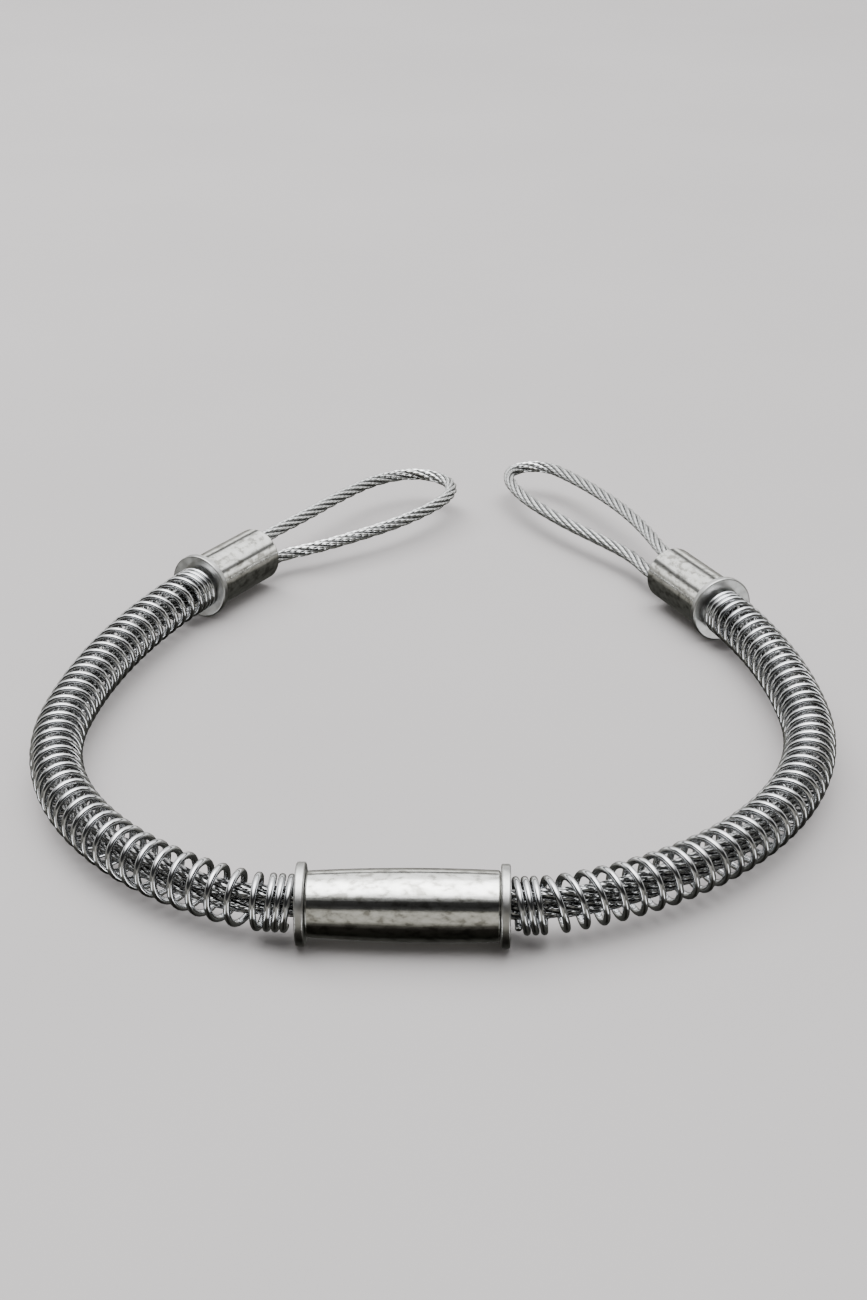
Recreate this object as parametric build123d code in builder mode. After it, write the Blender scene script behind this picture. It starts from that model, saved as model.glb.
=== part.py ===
from build123d import *

import os
from math import cos, pi, radians, sin, sqrt, tan

# A wire rope sling: a safety sling for hose couplings. Two wire ropes are each folded into an eye,
# and all four of their ends are crimped in one centre sleeve. Each folded rope runs through a
# compression spring, and a sleeve that slides on it closes the eye when the spring pushes it out.
#
# Millimetres and degrees. The origin is the middle of the centre sleeve, on its axis. +X runs along
# that sleeve to the right arm, +Y points at the eyes, and +Z is up from the surface that the sling
# lies on. side is -1 for the left arm and +1 for the right one.

# Driving dimensions
ROPE_DIA = 3.2
LEG_Z = 1.65                # the two legs of a folded rope lie one above the other at +-LEG_Z
ROPE_END_X = 0.3            # where a rope's ends stop, inside the centre sleeve
SLEEVE_OD = 14.4            # the end sleeves
SLEEVE_EDGE = 0.5
CENTRE_SLEEVE_HALF = 19.6
CENTRE_SLEEVE_RADII = (6.7, 7.45, 7.2)      # crimping left it narrower at its left end than its right
CENTRE_BORE_WIDTH = 3.3
END_SLEEVE_LENGTH = 25.0
END_SLEEVE_BORE = 11.0
WASHER_OD = 17.0
WASHER_THICKNESS = 1.9
WASHER_EDGE = 0.4
CENTRE_WASHER_BORE = 7.0
END_WASHER_BORE = 9.2
FACE_GAP = 0.1              # between a sleeve and the washer beside it
WIRE_DIA = 1.5
COIL_RADIUS = 5.3           # to the middle of the wire
OPEN_TURNS = 42
CLOSED_TURNS = 3            # at each end of a spring
CLOSED_PITCH = 1.8
LEFT_START_GAP = 1.15       # from a centre washer to the middle of its spring's wire
RIGHT_START_GAP = 1.0
LEFT_LEAN = 1.2             # how far a spring's first turn leans, its top towards the centre washer
RIGHT_LEAN = 0.75
LEAN_RUN = 30.0             # the lean dies out along this much of the arm
END_GAP = 1.1               # from the end washer to the middle of the spring's wire
STRAIGHT_RUN = 6.5          # an arm's first stretch, which the closed turns fill
TANGENT_RUN = 10.0          # an arm goes straight from this far inside the end washer
LEFT_KINK = 5.0
RIGHT_KINK = 4.0
LEFT_BENDS = [(14, 18), (82, 71), (200, 26.5)]      # radius and angle of each bend
RIGHT_BENDS = [(14, 14), (87, 74.5), (180, 23.5)]

# Corners of the rope routes, chosen by hand: those of an arm, which both legs share, and those of an
# eye, from its outer leg to its inner leg
LEFT_ARM = [(-28.5, 0.0), (-44.1, 6.6), (-63.5, 23.3), (-76.9, 45.2), (-83.0, 70.1), (-81.0, 98.2),
            (-74.1, 128.4), (-62.7, 157.1)]
LEFT_EYE = [(-44.2, 192.6, 2.6), (-35.5, 206.3, 2.5), (-27.0, 222.5, 2.1), (-18.0, 238.3, 1.3),
            (-9.2, 246.3, 0.7), (-1.6, 248.0, 0.2), (4.9, 243.9, -0.3), (6.6, 236.3, -0.5),
            (3.0, 226.2, -0.7), (-7.5, 212.8, -1.1), (-20.5, 202.3, -1.7), (-32.5, 194.3, -2.3),
            (-41.0, 190.3, -2.6)]
RIGHT_ARM = [(28.1, 0.0), (45.0, 5.5), (67.9, 22.5), (84.2, 46.0), (92.1, 73.4), (90.9, 100.0),
             (86.5, 124.2), (78.8, 147.6)]
RIGHT_EYE = [(64.6, 181.8, 2.6), (61.3, 197.0, 2.5), (55.8, 214.8, 2.1), (47.7, 233.5, 1.3),
             (40.2, 247.3, 0.6), (35.4, 254.4, 0.2), (29.9, 256.6, -0.1), (24.4, 254.0, -0.3),
             (22.8, 248.0, -0.5), (24.2, 240.0, -0.6), (29.0, 228.3, -0.9), (38.5, 213.8, -1.4),
             (49.0, 201.2, -1.9), (56.9, 191.0, -2.3), (61.3, 178.9, -2.6)]

# Worked out from them
CENTRE_WASHER_INNER = CENTRE_SLEEVE_HALF + FACE_GAP
CENTRE_WASHER_OUTER = CENTRE_WASHER_INNER + WASHER_THICKNESS
TURNS = OPEN_TURNS + 2 * CLOSED_TURNS
COIL_SHARE = 0.485          # how much of a run each fillet takes: nearly half leaves the coil round
ROPE_SHARE = 0.45


def arm_line(side, kink, bends):
    """An arm's centre line, from its centre washer to TANGENT_RUN beyond its end washer."""
    start = Vector(side * CENTRE_WASHER_OUTER, 0)
    heading = Vector(side, 0).rotate(Axis.Z, side * kink)
    with BuildLine() as arm:
        piece = Line(start, start + heading * STRAIGHT_RUN)
        for radius, angle in bends:
            piece = JernArc(start=piece @ 1, tangent=piece % 1, radius=radius, arc_size=side * angle)
    return arm.wire()


def corner_radii(points, share):
    """A fillet radius for each corner of a route: share of its shorter run, on each side of it."""
    radii = []
    for before, corner, after in zip(points, points[1:], points[2:]):
        half_turn = radians((corner - before).get_angle(after - corner)) / 2
        shorter = min((corner - before).length, (after - corner).length)
        radii.append(share * shorter / tan(half_turn))
    return radii


def report(name, part, path, diameter, radii):
    """Compare a swept part's volume with its section times its length."""
    expected = pi * diameter ** 2 / 4 * path.length
    print(f"{name}: length {path.length:.1f}, volume {part.volume:.1f}, expected {expected:.1f}, "
          f"radii {min(radii):.1f} to {max(radii):.1f}, valid {part.is_valid}")


# Sleeves and washers
left_radius, middle_radius, right_radius = CENTRE_SLEEVE_RADII
with BuildPart() as centre_sleeve:
    with BuildSketch(Plane.XY) as profile:
        left_corner = (-CENTRE_SLEEVE_HALF, left_radius)
        right_corner = (CENTRE_SLEEVE_HALF, right_radius)
        with BuildLine():
            Polyline(left_corner, (-CENTRE_SLEEVE_HALF, 0), (CENTRE_SLEEVE_HALF, 0), right_corner)
            ThreePointArc(left_corner, (0, middle_radius), right_corner)
        make_face()
        fillet(profile.vertices().sort_by(Axis.Y)[-2:], SLEEVE_EDGE)
    revolve(axis=Axis.X)
    with BuildSketch(Plane.YZ.offset(-CENTRE_SLEEVE_HALF)):
        SlotCenterToCenter(2 * LEG_Z, CENTRE_BORE_WIDTH, rotation=90)
    extrude(amount=2 * CENTRE_SLEEVE_HALF, mode=Mode.SUBTRACT)
print(f"centre_sleeve: volume {centre_sleeve.part.volume:.1f}, valid {centre_sleeve.part.is_valid}")


def washer(plane, bore):
    """A washer whose near face lies on the plane, with a rounded rim."""
    with BuildPart() as ring:
        with BuildSketch(plane):
            Circle(WASHER_OD / 2)
            Circle(bore / 2, mode=Mode.SUBTRACT)
        extrude(amount=WASHER_THICKNESS)
        rims = ring.edges().filter_by(GeomType.CIRCLE).sort_by(SortBy.RADIUS)[-2:]
        fillet(rims, WASHER_EDGE)
    return ring


def end_sleeve(plane):
    """An end sleeve, whose washer's spring-side face lies on the plane."""
    with BuildPart() as sleeve:
        with BuildSketch(plane.offset(WASHER_THICKNESS + FACE_GAP)):
            Circle(SLEEVE_OD / 2)
            Circle(END_SLEEVE_BORE / 2, mode=Mode.SUBTRACT)
        extrude(amount=END_SLEEVE_LENGTH)
        fillet(sleeve.edges().filter_by(GeomType.CIRCLE), SLEEVE_EDGE)
    return sleeve


# Springs
def coil_corners(arm, start_gap, lean):
    """Corners round a right-hand spring, four to a turn, that its fillets turn into a round coil."""
    open_run = arm.length - TANGENT_RUN - start_gap - END_GAP - 2 * CLOSED_TURNS * CLOSED_PITCH
    open_pitch = open_run / OPEN_TURNS
    print(f"spring: open pitch {open_pitch:.2f}, washer to washer {arm.length - TANGENT_RUN:.1f}")
    corner_radius = COIL_RADIUS * sqrt(2)
    corners = []
    for quarter in range(4 * TURNS + 1):
        turn = quarter / 4
        closed = min(turn, CLOSED_TURNS) + max(turn - CLOSED_TURNS - OPEN_TURNS, 0)
        along = start_gap + closed * CLOSED_PITCH + (turn - closed) * open_pitch
        forward = arm.tangent_at(along, position_mode=PositionMode.LENGTH)
        across = forward.cross(Vector(0, 0, -1))
        tilt = lean / COIL_RADIUS * max(1 - along / LEAN_RUN, 0)
        down = Vector(0, 0, -1) + forward * tilt
        angle = 2 * pi * turn
        centre = arm.position_at(along, position_mode=PositionMode.LENGTH)
        corners.append(centre + (down * cos(angle) + across * sin(angle)) * corner_radius)
    return corners


def swept_round(name, points, radii, diameter):
    """A round bar along a route of straight runs joined by tangent arcs."""
    with BuildPart() as bar:
        with BuildLine() as route:
            FilletPolyline(*points, radius=radii)
        path = route.wire()
        with BuildSketch(Plane(origin=path @ 0, z_dir=path % 0)):
            Circle(diameter / 2)
        sweep(path=path)
    report(name, bar.part, path, diameter, radii)
    return bar


# Ropes
def rope_route(side, arm_corners, eye_corners):
    """A folded rope: out along an arm, round its eye, and back under the first leg."""
    first = (side * ROPE_END_X, 0, LEG_Z)
    last = (side * ROPE_END_X, 0, -LEG_Z)
    out = [(x, y, LEG_Z) for x, y in arm_corners]
    back = [(x, y, -LEG_Z) for x, y in reversed(arm_corners)]
    return [Vector(*point) for point in [first, *out, *eye_corners, *back, last]]


def finish(piece, name):
    """Label one finished piece and write it."""
    piece.part.label = name
    export_step(piece.part, f"parts/{name}.step")


os.makedirs("parts", exist_ok=True)
finish(centre_sleeve, "centre_sleeve")

ARMS = [("left", -1, LEFT_KINK, LEFT_BENDS, LEFT_START_GAP, LEFT_LEAN, LEFT_ARM, LEFT_EYE),
        ("right", 1, RIGHT_KINK, RIGHT_BENDS, RIGHT_START_GAP, RIGHT_LEAN, RIGHT_ARM, RIGHT_EYE)]
for name, side, kink, bends, start_gap, lean, arm_corners, eye_corners in ARMS:
    arm = arm_line(side, kink, bends)
    heading = arm % 1
    face = arm @ 1 - heading * TANGENT_RUN
    end_plane = Plane(origin=face, z_dir=heading)
    centre_plane = Plane(origin=(side * CENTRE_WASHER_INNER, 0, 0), z_dir=(side, 0, 0))
    print(f"{name}: end washer at {face}, heading {heading}")

    finish(washer(centre_plane, CENTRE_WASHER_BORE), f"{name}_centre_washer")
    finish(washer(end_plane, END_WASHER_BORE), f"{name}_end_washer")
    finish(end_sleeve(end_plane), f"{name}_end_sleeve")

    corners = coil_corners(arm, start_gap, lean)
    radii = corner_radii(corners, COIL_SHARE)
    corners[0] = (corners[0] + corners[1]) / 2
    corners[-1] = (corners[-1] + corners[-2]) / 2
    finish(swept_round(f"{name}_spring", corners, radii, WIRE_DIA), f"{name}_spring")

    route = rope_route(side, arm_corners, eye_corners)
    rope = swept_round(f"{name}_rope", route, corner_radii(route, ROPE_SHARE), ROPE_DIA)
    finish(rope, f"{name}_rope")
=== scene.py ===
"""The looks of a wire rope sling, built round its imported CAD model.

Metres, in the CAD model's frame: the centre sleeve lies along X at the origin, the eyes point at +Y, and
+Z is up from the floor. side is -1 for the left arm and +1 for the right one.
"""

import math

import bpy
import numpy as np
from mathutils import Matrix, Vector


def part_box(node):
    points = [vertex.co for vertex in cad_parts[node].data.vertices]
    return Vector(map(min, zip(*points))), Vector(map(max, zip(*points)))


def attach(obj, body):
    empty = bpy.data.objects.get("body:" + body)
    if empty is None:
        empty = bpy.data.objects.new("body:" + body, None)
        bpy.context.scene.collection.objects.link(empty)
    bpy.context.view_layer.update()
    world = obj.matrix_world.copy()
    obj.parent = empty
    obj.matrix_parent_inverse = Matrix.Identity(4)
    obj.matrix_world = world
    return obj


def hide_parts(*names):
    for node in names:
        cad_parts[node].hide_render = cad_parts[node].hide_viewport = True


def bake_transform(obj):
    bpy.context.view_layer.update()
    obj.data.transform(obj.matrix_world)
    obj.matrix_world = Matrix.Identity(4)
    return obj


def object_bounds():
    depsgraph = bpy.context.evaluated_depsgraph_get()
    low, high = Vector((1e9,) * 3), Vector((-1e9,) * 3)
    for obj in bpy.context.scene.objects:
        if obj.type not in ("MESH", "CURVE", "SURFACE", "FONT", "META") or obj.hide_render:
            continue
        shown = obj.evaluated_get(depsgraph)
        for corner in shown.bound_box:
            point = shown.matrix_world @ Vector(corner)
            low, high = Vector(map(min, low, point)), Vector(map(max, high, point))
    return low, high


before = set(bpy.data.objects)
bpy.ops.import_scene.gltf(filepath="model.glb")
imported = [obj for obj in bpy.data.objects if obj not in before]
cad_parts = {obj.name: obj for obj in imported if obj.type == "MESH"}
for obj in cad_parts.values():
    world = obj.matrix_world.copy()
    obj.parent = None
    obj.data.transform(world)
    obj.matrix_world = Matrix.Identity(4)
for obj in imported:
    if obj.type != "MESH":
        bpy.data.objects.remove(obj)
cad_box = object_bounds()

MM = 0.001

# Studio. The edges in its world are parts of a unit direction, and each is soft from its first number to
# its second
STUDIO_LIGHT = 9.0                      # times the world's colours, in all but what the camera sees
SEEN_BACKGROUND = (0.9, 0.866, 0.866)   # as pale as the floor looks where it ends
FLOOR_HALF = 8.0
SHADE_TOP = (0.10, 0.20)                # Z: the front wall is shaded below this
SHADE_INNER = (0.18, 0.45)              # X, either way: and beyond this
MOST_SHADE = 0.75
PANEL_INNER = (0.56, 0.61)              # X, either way: a panel stands at each side between these
PANEL_OUTER = (0.72, 0.77)
PANEL_BOTTOM = (-0.66, -0.58)           # Z
PANEL_TOP = (-0.20, -0.06)
BACK_WALL = (0.05, 0.30)                # Y: the front wall gives way to the back wall here

# Camera
CAMERA_TARGET = Vector((3.35, 122.85, 0.0)) * MM
CAMERA_DISTANCE = 576.8 * MM
CAMERA_ELEVATION = math.radians(24.76)
CAMERA_TURN = math.radians(1.28)        # how far it stands to the right of the Y axis
CAMERA_FIELD = math.radians(31.46)      # top to bottom

# Ropes: six strands round a core strand, each of six wires round a core wire
ROPE_DIA = 3.2 * MM
ROPE_OVERSIZE = 1.07                    # a new rope measures a little more than its nominal size
ROUTE_DETAIL = 24                       # points read from the spline between two of its control points
ROPE_LAY = 30.0 * MM                    # a strand goes once round the rope in this length
STRANDS = 6
STRAND_RADIUS = ROPE_OVERSIZE * ROPE_DIA / 6
CORE_SIZE = 0.9                         # the core strand's size beside the others
STRAND_LAY = 12.0 * MM                  # a wire goes once round its strand, the other way
WIRES = 6
POINT_ANGLES = (0.0, 15.0, 30.0, 45.0)  # degrees from a wire's crown to the points drawn before the next
CROWN_ANGLES = (0.0, 15.0, 30.0, 15.0)  # and from each point to the crown nearest it
WIRE_SHOWS = 0.45                       # how much of a wire's roundness the drawn strand keeps
RING_STEP = 1.0 * MM
GROOVE_DEPTH = 0.38                     # of the rope's radius, from its crowns down to its grooves, whose colour is painted darkest as shade
LEG_Z = 1.65                            # in millimetres: a folded rope's two legs lie at +-LEG_Z
ROPE_END_X = 0.3                        # in millimetres: where its ends stop, in the centre sleeve

# Corners of the rope routes in millimetres, as in part.py
LEFT_ARM = [(-28.5, 0.0), (-44.1, 6.6), (-63.5, 23.3), (-76.9, 45.2), (-83.0, 70.1), (-81.0, 98.2),
            (-74.1, 128.4), (-62.7, 157.1)]
LEFT_EYE = [(-44.2, 192.6, 2.6), (-35.5, 206.3, 2.5), (-27.0, 222.5, 2.1), (-18.0, 238.3, 1.3),
            (-9.2, 246.3, 0.7), (-1.6, 248.0, 0.2), (4.9, 243.9, -0.3), (6.6, 236.3, -0.5),
            (3.0, 226.2, -0.7), (-7.5, 212.8, -1.1), (-20.5, 202.3, -1.7), (-32.5, 194.3, -2.3),
            (-41.0, 190.3, -2.6)]
RIGHT_ARM = [(28.1, 0.0), (45.0, 5.5), (67.9, 22.5), (84.2, 46.0), (92.1, 73.4), (90.9, 100.0),
             (86.5, 124.2), (78.8, 147.6)]
RIGHT_EYE = [(64.6, 181.8, 2.6), (61.3, 197.0, 2.5), (55.8, 214.8, 2.1), (47.7, 233.5, 1.3),
             (40.2, 247.3, 0.6), (35.4, 254.4, 0.2), (29.9, 256.6, -0.1), (24.4, 254.0, -0.3),
             (22.8, 248.0, -0.5), (24.2, 240.0, -0.6), (29.0, 228.3, -0.9), (38.5, 213.8, -1.4),
             (49.0, 201.2, -1.9), (56.9, 191.0, -2.3), (61.3, 178.9, -2.6)]

# Springs: each is coiled round its arm, whose centre line is a short straight and three bends
WIRE_RADIUS = 0.75 * MM
COIL_RADIUS = 5.3 * MM                  # to the middle of the wire
OPEN_TURNS = 42
CLOSED_TURNS = 3                        # at each end
CLOSED_PITCH = 1.8 * MM
LEFT_START_GAP = 1.15 * MM              # from the centre washer to the middle of the wire
RIGHT_START_GAP = 1.0 * MM
LEFT_LEAN = 1.2 * MM                    # how far the first turn leans, its top towards the washer
RIGHT_LEAN = 0.75 * MM
LEAN_RUN = 30.0 * MM                    # the lean dies out along this much of the arm
END_GAP = 1.1 * MM                      # from the end washer to the middle of the wire
STRAIGHT_RUN = 6.5 * MM
TANGENT_RUN = 10.0 * MM                 # the arm's centre line goes on this far past the end washer
SQUEEZED_RUN = 45.0 * MM                # a length of the middle bend before the last bend; make_spring works out a point there that nothing uses
RINGS_PER_TURN = 28
WIRE_SIDES = 14
LEFT_KINK = 5.0                         # degrees, as are the angles below
RIGHT_KINK = 4.0
LEFT_BENDS = [(14, 18), (82, 71), (200, 26.5)]      # radius in millimetres, and angle
RIGHT_BENDS = [(14, 14), (87, 74.5), (180, 23.5)]


# Camera
def make_camera():
    """Look at the sling from the front, a little from above, with no roll."""
    level = math.cos(CAMERA_ELEVATION)
    away = Vector((math.sin(CAMERA_TURN) * level, -math.cos(CAMERA_TURN) * level,
                   math.sin(CAMERA_ELEVATION)))
    data = bpy.data.cameras.new("camera")
    data.sensor_fit = "VERTICAL"
    data.angle = CAMERA_FIELD
    camera = bpy.data.objects.new("camera", data)
    camera.location = CAMERA_TARGET + away * CAMERA_DISTANCE
    camera.rotation_euler = (-away).to_track_quat("-Z", "Y").to_euler()
    bpy.context.scene.collection.objects.link(camera)
    bpy.context.scene.camera = camera


def node_name(side, kind):
    """The name of one arm's CAD node, such as left_end_washer."""
    return ("left_" if side < 0 else "right_") + kind


# Meshes made of rings
def add_mesh(name, vertices, faces):
    """Add a smooth object from vertices and faces."""
    mesh = bpy.data.meshes.new(name)
    mesh.from_pydata(vertices, [], faces)
    mesh.shade_smooth()
    piece = bpy.data.objects.new(name, mesh)
    bpy.context.scene.collection.objects.link(piece)
    return piece


def skin(rings, first_vertex=0):
    """Faces of a closed bar over an array of rings, counted on from first_vertex."""
    count, sides, _ = rings.shape
    faces = []
    for ring in range(count - 1):
        low = first_vertex + ring * sides
        high = low + sides
        for side in range(sides):
            after = (side + 1) % sides
            faces.append((low + side, low + after, high + after, high + side))
    last = first_vertex + (count - 1) * sides
    faces.append(tuple(first_vertex + side for side in reversed(range(sides))))
    faces.append(tuple(last + side for side in range(sides)))
    return faces


def carried_frames(points):
    """Two normals at each point of a line, carried along it without twisting."""
    tangents = np.gradient(points, axis=0)
    tangents /= np.linalg.norm(tangents, axis=1)[:, None]
    normal = np.cross(tangents[0], (0.0, 1.0, 0.0))
    normals = []
    for tangent in tangents:
        normal = normal - tangent * normal.dot(tangent)
        normal /= np.linalg.norm(normal)
        normals.append(normal)
    normals = np.array(normals)
    return normals, np.cross(tangents, normals)


def bar_rings(points, section_angles, section_radii):
    """Rings round a line, whose sections are given by an angle and a radius for each side."""
    normals, binormals = carried_frames(points)
    cosines = np.cos(section_angles)[:, :, None]
    sines = np.sin(section_angles)[:, :, None]
    radii = section_radii[None, :, None]
    return points[:, None] + radii * (cosines * normals[:, None] + sines * binormals[:, None])


# Ropes
def route_points(side, arm, eye):
    """A folded rope's route in metres: out along an arm, round its eye, and back under the first leg."""
    out = [(x, y, LEG_Z) for x, y in arm]
    back = [(x, y, -LEG_Z) for x, y in reversed(arm)]
    route = [(side * ROPE_END_X, 0.0, LEG_Z), *out, *eye, *back, (side * ROPE_END_X, 0.0, -LEG_Z)]
    return [Vector(point) * MM for point in route]


def smooth_line(name, points):
    """Points read from the NURBS spline whose control points are these."""
    curve = bpy.data.curves.new(name, "CURVE")
    curve.dimensions = "3D"
    curve.resolution_u = ROUTE_DETAIL
    spline = curve.splines.new("NURBS")
    spline.points.add(len(points) - 1)
    for control, point in zip(spline.points, points):
        control.co = (*point, 1.0)
    spline.order_u = 3
    spline.use_endpoint_u = True
    holder = bpy.data.objects.new(name, curve)
    mesh = bpy.data.meshes.new_from_object(holder)
    line = np.array([vertex.co[:] for vertex in mesh.vertices])
    bpy.data.objects.remove(holder)
    bpy.data.meshes.remove(mesh)
    return line


def evenly_spaced(line, step):
    """The same line with its points a step apart, and how far along it each one is."""
    lengths = np.linalg.norm(np.diff(line, axis=0), axis=1)
    along = np.concatenate([[0.0], np.cumsum(lengths)])
    places = np.linspace(0.0, along[-1], round(along[-1] / step) + 1)
    points = np.stack([np.interp(places, along, line[:, axis]) for axis in range(3)], axis=1)
    return points, places


def strand_section():
    """The outline of six wires round a core wire: an angle and a radius for each of its points."""
    from_wire = np.radians(POINT_ANGLES)
    off_crown = np.radians(CROWN_ANGLES)
    reach = np.sqrt(np.maximum(1.0 - (2 * np.sin(off_crown)) ** 2, 0.0))
    outline = (2 * np.cos(off_crown) + reach) / 3
    radii = STRAND_RADIUS * (1.0 - WIRE_SHOWS * (1.0 - outline))
    starts = np.arange(WIRES) * 2 * math.pi / WIRES
    angles = (starts[:, None] + from_wire[None, :]).ravel()
    return angles, np.tile(radii, WIRES)


def add_attribute(piece, name, values):
    """Give each of a piece's vertices a value that its material can read."""
    attribute = piece.data.attributes.new(name, "FLOAT", "POINT")
    attribute.data.foreach_set("value", values.astype(np.float32))


def make_rope(name, side, arm, eye, material):
    """A folded wire rope: six strands laid right-handed round a core strand."""
    route = route_points(side, arm, eye)
    line, along = evenly_spaced(smooth_line(name + "_route", route), RING_STEP)
    normals, binormals = carried_frames(line)
    angles, radii = strand_section()
    wire_turn = angles[None, :] - (along / STRAND_LAY * 2 * math.pi)[:, None]
    bars = [bar_rings(line, wire_turn, radii * CORE_SIZE)]
    for strand in range(STRANDS):
        turn = 2 * math.pi * (strand / STRANDS + along / ROPE_LAY)
        outwards = np.cos(turn)[:, None] * normals + np.sin(turn)[:, None] * binormals
        middle = line + outwards * 2 * STRAND_RADIUS
        bars.append(bar_rings(middle, wire_turn, radii))
    vertices = np.concatenate([rings.reshape(-1, 3) for rings in bars])
    faces = []
    for number, rings in enumerate(bars):
        faces += skin(rings, number * rings.shape[0] * rings.shape[1])
    rope = add_mesh(name, vertices.tolist(), faces)
    # how deep each point lies towards a groove, which the material turns into painted shade and more
    # roughness
    from_axis = [np.linalg.norm(rings - line[:, None], axis=2).ravel() for rings in bars]
    depth = (1.0 - np.concatenate(from_axis) / (3 * STRAND_RADIUS)) / GROOVE_DEPTH
    add_attribute(rope, "groove", np.clip(depth, 0.0, 1.0))
    # points under the springs, which the material darkens as painted shade from the coils
    cover_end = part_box(node_name(side, "end_washer"))[1][1]
    places = np.concatenate([rings[:, :, 1].ravel() for rings in bars])
    add_attribute(rope, "covered", places < cover_end)
    rope.data.materials.append(material)
    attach(rope, "sling")
    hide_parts(name.replace("wire_rope", "rope"))


# Springs
def arm_line(side, kink, bends):
    """An arm's centre line: a function from a length along it to its place and heading, and its length."""
    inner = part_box(node_name(side, "centre_washer"))
    outer_x = inner[0][0] if side < 0 else inner[1][0]
    stretches = [(STRAIGHT_RUN, 0.0)]
    for radius, angle in bends:
        stretches.append((radius * MM * math.radians(angle), side * math.radians(angle)))
    start_heading = math.radians(side * kink) + (math.pi if side < 0 else 0.0)

    def at(along):
        place = np.array([outer_x, 0.0, 0.0])
        heading = start_heading
        left = along
        for number, (length, angle) in enumerate(stretches):
            last = number == len(stretches) - 1
            part = left if last else min(left, length)
            turn = angle * part / length
            chord = part if turn == 0 else part * math.sin(turn / 2) / (turn / 2)
            chord_heading = heading + turn / 2
            place = place + chord * np.array([math.cos(chord_heading), math.sin(chord_heading), 0.0])
            heading += turn
            left -= part
            if left <= 0:
                break
        return place, np.array([math.cos(heading), math.sin(heading), 0.0])

    return at, sum(length for length, _ in stretches)


def make_spring(name, side, kink, bends, start_gap, lean, material):
    """A right-hand spring coiled round an arm."""
    at, length = arm_line(side, kink, bends)
    closed_run = CLOSED_TURNS * CLOSED_PITCH
    run = length - TANGENT_RUN - start_gap - END_GAP
    open_pitch = (run - 2 * closed_run) / OPEN_TURNS
    turns = OPEN_TURNS + 2 * CLOSED_TURNS
    coil = []
    for ring in range(turns * RINGS_PER_TURN + 1):
        turn = ring / RINGS_PER_TURN
        closed = min(turn, CLOSED_TURNS) + max(turn - CLOSED_TURNS - OPEN_TURNS, 0)
        along = start_gap + closed * CLOSED_PITCH + (turn - closed) * open_pitch
        place, forward = at(along)
        across = np.cross(forward, (0.0, 0.0, -1.0))
        tilt = lean / COIL_RADIUS * max(1.0 - along / LEAN_RUN, 0.0)
        down = forward * tilt - (0.0, 0.0, 1.0)
        angle = 2 * math.pi * turn
        coil.append(place + COIL_RADIUS * (math.cos(angle) * down + math.sin(angle) * across))
    coil = np.array(coil)
    angles = np.tile(np.arange(WIRE_SIDES) * 2 * math.pi / WIRE_SIDES, (len(coil), 1))
    rings = bar_rings(coil, angles, np.full(WIRE_SIDES, WIRE_RADIUS))
    spring = add_mesh(name, rings.reshape(-1, 3).tolist(), skin(rings))
    spring.data.materials.append(material)
    squeezed_from = length - TANGENT_RUN - END_GAP - closed_run
    last_bend = bends[-1][0] * MM * math.radians(bends[-1][1])
    start, _ = at(length - last_bend - SQUEEZED_RUN)
    end, _ = at(squeezed_from)
    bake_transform(spring)
    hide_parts(name.replace("coil", "spring"))


# Materials
def new_material(name):
    """An empty node material and its shader."""
    material = bpy.data.materials.new(name)
    material.use_nodes = True
    nodes = material.node_tree.nodes
    return material, nodes, material.node_tree.links, nodes["Principled BSDF"]


def noise(nodes, links, per_metre, detail, turn=0.0):
    """Noise with about this many features to a metre along each axis, turned about Z."""
    coordinates = nodes.new("ShaderNodeTexCoord")
    turned = nodes.new("ShaderNodeMapping")
    turned.inputs["Rotation"].default_value = (0.0, 0.0, -turn)
    scaled = nodes.new("ShaderNodeMapping")
    scaled.inputs["Scale"].default_value = per_metre
    texture = nodes.new("ShaderNodeTexNoise")
    texture.inputs["Scale"].default_value = 1.0
    texture.inputs["Detail"].default_value = detail
    links.new(coordinates.outputs["Object"], turned.inputs["Vector"])
    links.new(turned.outputs["Vector"], scaled.inputs["Vector"])
    links.new(scaled.outputs["Vector"], texture.inputs["Vector"])
    return texture.outputs["Fac"]


def ramp(nodes, links, source, stops):
    """A colour ramp over a value: each stop is a place and a colour."""
    node = nodes.new("ShaderNodeValToRGB")
    elements = node.color_ramp.elements
    while len(elements) < len(stops):
        elements.new(0.5)
    for element, (place, colour) in zip(elements, stops):
        element.position = place
        element.color = (*colour, 1.0)
    links.new(source, node.inputs["Fac"])
    return node.outputs["Color"]


def math_node(nodes, links, operation, *sources):
    """One of Blender's math operations on one or two values."""
    node = nodes.new("ShaderNodeMath")
    node.operation = operation
    for socket, source in zip(node.inputs, sources):
        links.new(source, socket)
    return node.outputs["Value"]


def map_range(nodes, links, source, low, high, source_low=0.0, source_high=1.0):
    """A value that goes from low to high as its source goes from source_low to source_high."""
    node = nodes.new("ShaderNodeMapRange")
    node.inputs["From Min"].default_value = source_low
    node.inputs["From Max"].default_value = source_high
    node.inputs["To Min"].default_value = low
    node.inputs["To Max"].default_value = high
    links.new(source, node.inputs["Value"])
    return node.outputs["Result"]


def rising(nodes, links, source, edge, most=1.0):
    """0 below an edge, and most above it."""
    return map_range(nodes, links, source, 0.0, most, *edge)


def falling(nodes, links, source, edge):
    """1 below an edge, and 0 above it."""
    return map_range(nodes, links, source, 1.0, 0.0, *edge)


def mixed(nodes, links, factor, first, second):
    """The first colour, giving way to the second, a plain one, as the factor goes from 0 to 1."""
    node = nodes.new("ShaderNodeMix")
    node.data_type = "RGBA"
    links.new(factor, node.inputs["Factor"])
    links.new(first, node.inputs["A"])
    node.inputs["B"].default_value = (*second, 1.0)
    return node.outputs["Result"]


def attribute(nodes, name):
    """A value that was stored on the mesh's vertices."""
    node = nodes.new("ShaderNodeAttribute")
    node.attribute_name = name
    return node.outputs["Fac"]


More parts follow.
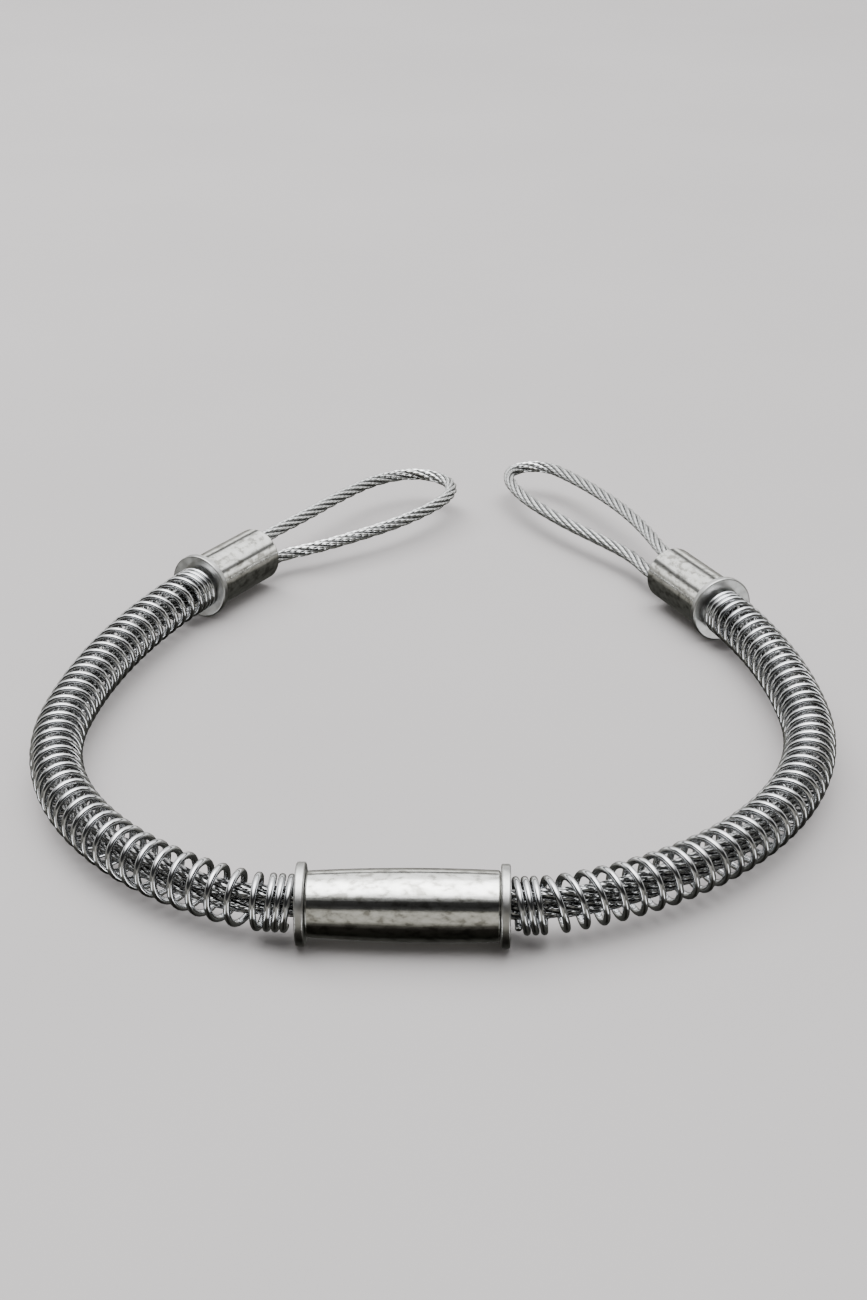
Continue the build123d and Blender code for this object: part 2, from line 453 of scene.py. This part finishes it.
def bump(nodes, links, height, distance, normal=None):
    """A bump of this many metres over a height between 0 and 1."""
    node = nodes.new("ShaderNodeBump")
    node.inputs["Distance"].default_value = distance
    links.new(height, node.inputs["Height"])
    if normal:
        links.new(normal, node.inputs["Normal"])
    return node.outputs["Normal"]


def sleeve_steel(name, turn):
    """Plated steel tube, drawn along its axis, which lies at this angle from X."""
    material, nodes, links, shader = new_material(name)
    shader.inputs["Metallic"].default_value = 1.0
    streaks = noise(nodes, links, (220.0, 2600.0, 2600.0), 6.0, turn)
    ripples = noise(nodes, links, (70.0, 340.0, 340.0), 2.0, turn)
    stains = noise(nodes, links, (420.0, 700.0, 700.0), 7.0, turn)
    colours = [(0.36, (0.34, 0.335, 0.310)), (0.47, (0.62, 0.62, 0.59)), (0.62, (0.78, 0.78, 0.755))]
    links.new(ramp(nodes, links, stains, colours), shader.inputs["Base Color"])
    links.new(map_range(nodes, links, stains, 0.20, 0.02), shader.inputs["Roughness"])
    first = bump(nodes, links, ripples, 0.045 * MM)
    links.new(bump(nodes, links, streaks, 0.007 * MM, first), shader.inputs["Normal"])
    return material


def washer_steel():
    """Stamped steel washers, duller than the sleeves and a little blotchy."""
    material, nodes, links, shader = new_material("washer_steel")
    shader.inputs["Metallic"].default_value = 1.0
    blotches = noise(nodes, links, (420.0, 420.0, 420.0), 6.0)
    grain = noise(nodes, links, (5200.0, 5200.0, 5200.0), 3.0)
    colours = [(0.32, (0.40, 0.40, 0.39)), (0.62, (0.58, 0.58, 0.57))]
    links.new(ramp(nodes, links, blotches, colours), shader.inputs["Base Color"])
    links.new(map_range(nodes, links, blotches, 0.24, 0.42), shader.inputs["Roughness"])
    links.new(bump(nodes, links, grain, 0.006 * MM), shader.inputs["Normal"])
    return material


def spring_wire():
    """Bright galvanised spring wire, with the faint marks of its drawing and coiling."""
    material, nodes, links, shader = new_material("spring_wire")
    shader.inputs["Metallic"].default_value = 1.0
    marks = noise(nodes, links, (1500.0, 1500.0, 1500.0), 4.0)
    cloud = noise(nodes, links, (140.0, 140.0, 140.0), 3.0)
    colours = [(0.30, (0.48, 0.487, 0.50)), (0.65, (0.66, 0.668, 0.68))]
    links.new(ramp(nodes, links, cloud, colours), shader.inputs["Base Color"])
    links.new(map_range(nodes, links, marks, 0.04, 0.14), shader.inputs["Roughness"])
    links.new(bump(nodes, links, marks, 0.008 * MM), shader.inputs["Normal"])
    return material


def rope_wire():
    """Galvanised rope wires, bright on their crowns, with painted shade in the grooves and painted shade
    under the springs.
    """
    material, nodes, links, shader = new_material("rope_strands")
    shader.inputs["Metallic"].default_value = 1.0
    groove = attribute(nodes, "groove")
    cloud = noise(nodes, links, (900.0, 900.0, 900.0), 4.0)
    bright = ramp(nodes, links, cloud, [(0.30, (0.76, 0.77, 0.77)), (0.65, (0.92, 0.93, 0.93))])
    # painted shade: the rope under the springs is mixed towards near black
    spring_painted_shade = map_range(nodes, links, attribute(nodes, "covered"), 0.0, 0.58)
    metal = mixed(nodes, links, spring_painted_shade, bright, (0.050, 0.052, 0.056))
    # painted shade: the base colour goes near black towards the grooves between wires and strands
    groove_painted_shade = mixed(nodes, links, groove, metal, (0.018, 0.018, 0.018))
    links.new(groove_painted_shade, shader.inputs["Base Color"])
    links.new(map_range(nodes, links, groove, 0.10, 0.45), shader.inputs["Roughness"])
    return material


def floor_paper():
    """Pale matt paper with the faintest cloud in it."""
    material, nodes, links, shader = new_material("floor_paper")
    cloud = noise(nodes, links, (6.0, 6.0, 6.0), 3.0)
    colours = [(0.35, (0.37, 0.355, 0.355)), (0.65, (0.385, 0.37, 0.37))]
    links.new(ramp(nodes, links, cloud, colours), shader.inputs["Base Color"])
    shader.inputs["Roughness"].default_value = 0.9
    shader.inputs["Specular IOR Level"].default_value = 0.1
    return material


def dress(node, material):
    """Give a CAD node this material in place of its own."""
    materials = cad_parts[node].data.materials
    materials.clear()
    materials.append(material)


# Studio
def make_floor(material):
    """A large pale floor under the sling."""
    level = cad_box[0][2]
    signs = [(-1, -1), (1, -1), (1, 1), (-1, 1)]
    corners = [(x * FLOOR_HALF, y * FLOOR_HALF, level) for x, y in signs]
    floor = add_mesh("floor", corners, [(0, 1, 2, 3)])
    floor.data.materials.append(material)
    floor.visible_glossy = False


def make_world():
    """A studio: bright overhead, pale bands on dark walls in front and behind, and two side panels.

    The metals see it, and the camera sees a plain pale background instead. In the two ramps the first
    number is a height: 0 is straight down, 0.5 the horizon and 1 straight up.
    """
    world = bpy.data.worlds.new("studio")
    bpy.context.scene.world = world
    world.use_nodes = True
    nodes = world.node_tree.nodes
    links = world.node_tree.links
    nodes.clear()
    direction = nodes.new("ShaderNodeTexCoord")
    axes = nodes.new("ShaderNodeSeparateXYZ")
    links.new(direction.outputs["Generated"], axes.inputs["Vector"])
    height = map_range(nodes, links, axes.outputs["Z"], 0.0, 1.0, -1.0, 1.0)
    front = ramp(nodes, links, height, [
        (0.000, (0.0010, 0.0010, 0.0008)),
        (0.115, (0.0020, 0.0018, 0.0016)),
        (0.190, (0.0100, 0.0095, 0.0085)),
        (0.250, (0.0400, 0.0390, 0.0350)),
        (0.290, (0.0640, 0.0620, 0.0560)),
        (0.550, (0.0680, 0.0660, 0.0600)),
        (0.630, (0.0080, 0.0080, 0.0078)),
        (0.720, (0.0030, 0.0030, 0.0030)),
        (0.820, (0.0040, 0.0040, 0.0040)),
        (0.885, (0.0450, 0.0450, 0.0450)),
        (0.930, (0.3000, 0.3000, 0.3000)),
        (0.970, (0.8000, 0.8020, 0.8050)),
        (1.000, (1.0000, 1.0000, 1.0000)),
    ])
    back = ramp(nodes, links, height, [
        (0.000, (0.0040, 0.0040, 0.0036)),
        (0.360, (0.0090, 0.0090, 0.0082)),
        (0.420, (0.0400, 0.0390, 0.0360)),
        (0.550, (0.0600, 0.0590, 0.0560)),
        (0.610, (0.1900, 0.1890, 0.1850)),
        (0.660, (0.1900, 0.1890, 0.1850)),
        (0.690, (0.0200, 0.0200, 0.0200)),
        (0.735, (0.0200, 0.0200, 0.0200)),
        (0.765, (0.2200, 0.2200, 0.2200)),
        (0.920, (0.3000, 0.3010, 0.3020)),
        (1.000, (1.0000, 1.0000, 1.0000)),
    ])
    sideways = math_node(nodes, links, "ABSOLUTE", axes.outputs["X"])
    low = falling(nodes, links, axes.outputs["Z"], SHADE_TOP)
    beside = rising(nodes, links, sideways, SHADE_INNER, MOST_SHADE)
    shaded = math_node(nodes, links, "MULTIPLY", low, beside)
    front = mixed(nodes, links, shaded, front, (0.009, 0.009, 0.008))
    panel = rising(nodes, links, sideways, PANEL_INNER)
    for edge in (falling(nodes, links, sideways, PANEL_OUTER),
                 rising(nodes, links, axes.outputs["Z"], PANEL_BOTTOM),
                 falling(nodes, links, axes.outputs["Z"], PANEL_TOP)):
        panel = math_node(nodes, links, "MULTIPLY", panel, edge)
    front = mixed(nodes, links, panel, front, (0.520, 0.525, 0.532))
    walls = nodes.new("ShaderNodeMix")
    walls.data_type = "RGBA"
    links.new(rising(nodes, links, axes.outputs["Y"], BACK_WALL), walls.inputs["Factor"])
    links.new(front, walls.inputs["A"])
    links.new(back, walls.inputs["B"])
    seen = nodes.new("ShaderNodeBackground")
    seen.inputs["Color"].default_value = (*SEEN_BACKGROUND, 1.0)
    lit = nodes.new("ShaderNodeBackground")
    lit.inputs["Strength"].default_value = STUDIO_LIGHT
    links.new(walls.outputs["Result"], lit.inputs["Color"])
    rays = nodes.new("ShaderNodeLightPath")
    mix = nodes.new("ShaderNodeMixShader")
    output = nodes.new("ShaderNodeOutputWorld")
    links.new(rays.outputs["Is Camera Ray"], mix.inputs["Fac"])
    links.new(lit.outputs["Background"], mix.inputs[1])
    links.new(seen.outputs["Background"], mix.inputs[2])
    links.new(mix.outputs["Shader"], output.inputs["Surface"])


def make_light(name, place, size, power):
    """A square softbox that faces the sling."""
    data = bpy.data.lights.new(name, "AREA")
    data.size = size
    data.energy = power
    light = bpy.data.objects.new(name, data)
    light.location = place
    light.visible_glossy = False
    light.rotation_euler = (CAMERA_TARGET - Vector(place)).to_track_quat("-Z", "Y").to_euler()
    bpy.context.scene.collection.objects.link(light)


# The camera and the ropes come first
make_camera()
rope_material = rope_wire()
make_rope("left_wire_rope", -1, LEFT_ARM, LEFT_EYE, rope_material)
make_rope("right_wire_rope", 1, RIGHT_ARM, RIGHT_EYE, rope_material)

wire_material = spring_wire()
make_spring("left_coil", -1, LEFT_KINK, LEFT_BENDS, LEFT_START_GAP, LEFT_LEAN, wire_material)
make_spring("right_coil", 1, RIGHT_KINK, RIGHT_BENDS, RIGHT_START_GAP, RIGHT_LEAN,
            wire_material)

left_heading = math.radians(180.0 - LEFT_KINK - sum(angle for _, angle in LEFT_BENDS))
right_heading = math.radians(RIGHT_KINK + sum(angle for _, angle in RIGHT_BENDS))
sleeve_turns = {"centre_sleeve": 0.0, "left_end_sleeve": left_heading, "right_end_sleeve": right_heading}
for node, turn in sleeve_turns.items():
    dress(node, sleeve_steel(node + "_steel", turn))
washer_material = washer_steel()
for node in ("left_centre_washer", "right_centre_washer", "left_end_washer", "right_end_washer"):
    dress(node, washer_material)

make_floor(floor_paper())
make_world()
make_light("key", place=(-0.55, 0.75, 0.95), size=0.7, power=9.0)
make_light("fill", place=(0.8, -0.5, 0.8), size=0.9, power=3.0)
